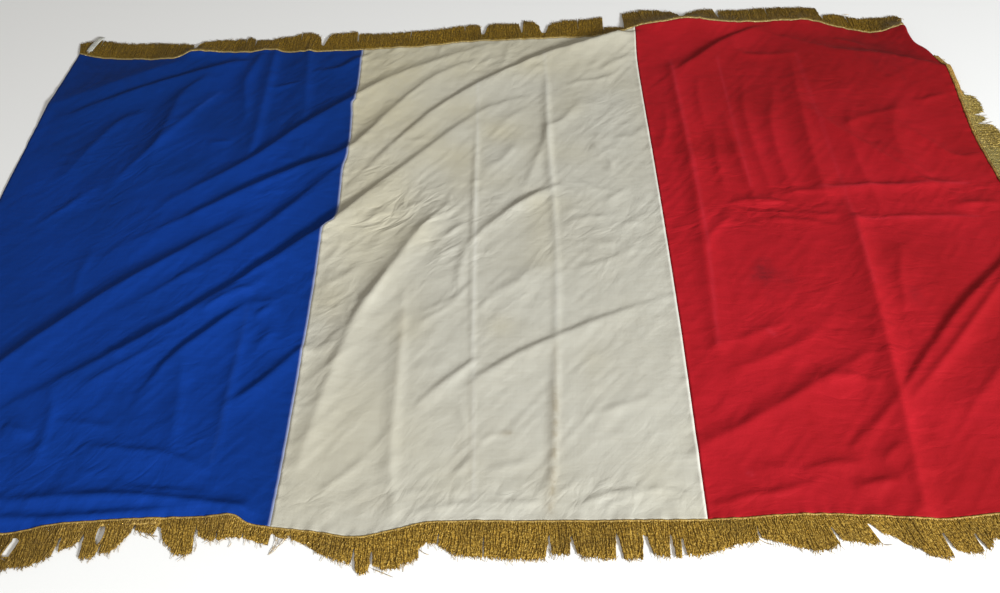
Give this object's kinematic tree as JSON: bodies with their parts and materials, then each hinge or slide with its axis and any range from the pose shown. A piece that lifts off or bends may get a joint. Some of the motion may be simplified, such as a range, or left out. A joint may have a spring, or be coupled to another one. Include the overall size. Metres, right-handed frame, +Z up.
{
  "type": "worn fringed tricolour flag laid out flat",
  "caption": "Blue, ivory and red cloth flag with a worn bullion fringe, spread out on a surface in soft folds and storage creases.",
  "frame": {"origin": "centre of the flag's underside, on the surface that it lies on", "axes": "+X along the flag's length from the hoist to the fly, +Y from the bottom edge to the top edge, +Z up out of the cloth"},
  "size_m": [1.5734, 1.113, 0.019],
  "materials": {
    "blue_cloth": "fine plain weave, soft sheen",
    "ivory_cloth": "fine plain weave, soft sheen, aged",
    "red_cloth": "fine plain weave, soft sheen",
    "gold_braid": "woven metallic braid, dulled",
    "gold_cord": "twisted metallic cords, tarnished",
    "white_tape": "woven cotton tape"
  },
  "bodies": {
    "root": {"blue_panel": "blue_cloth", "white_panel": "ivory_cloth", "red_panel": "red_cloth", "bottom_heading": "gold_braid", "bottom_skirt": "gold_cord", "top_heading": "gold_braid", "top_skirt": "gold_cord", "fly_heading": "gold_braid", "fly_skirt": "gold_cord", "hoist_tape": "white_tape"}
  },
  "joints": []
}
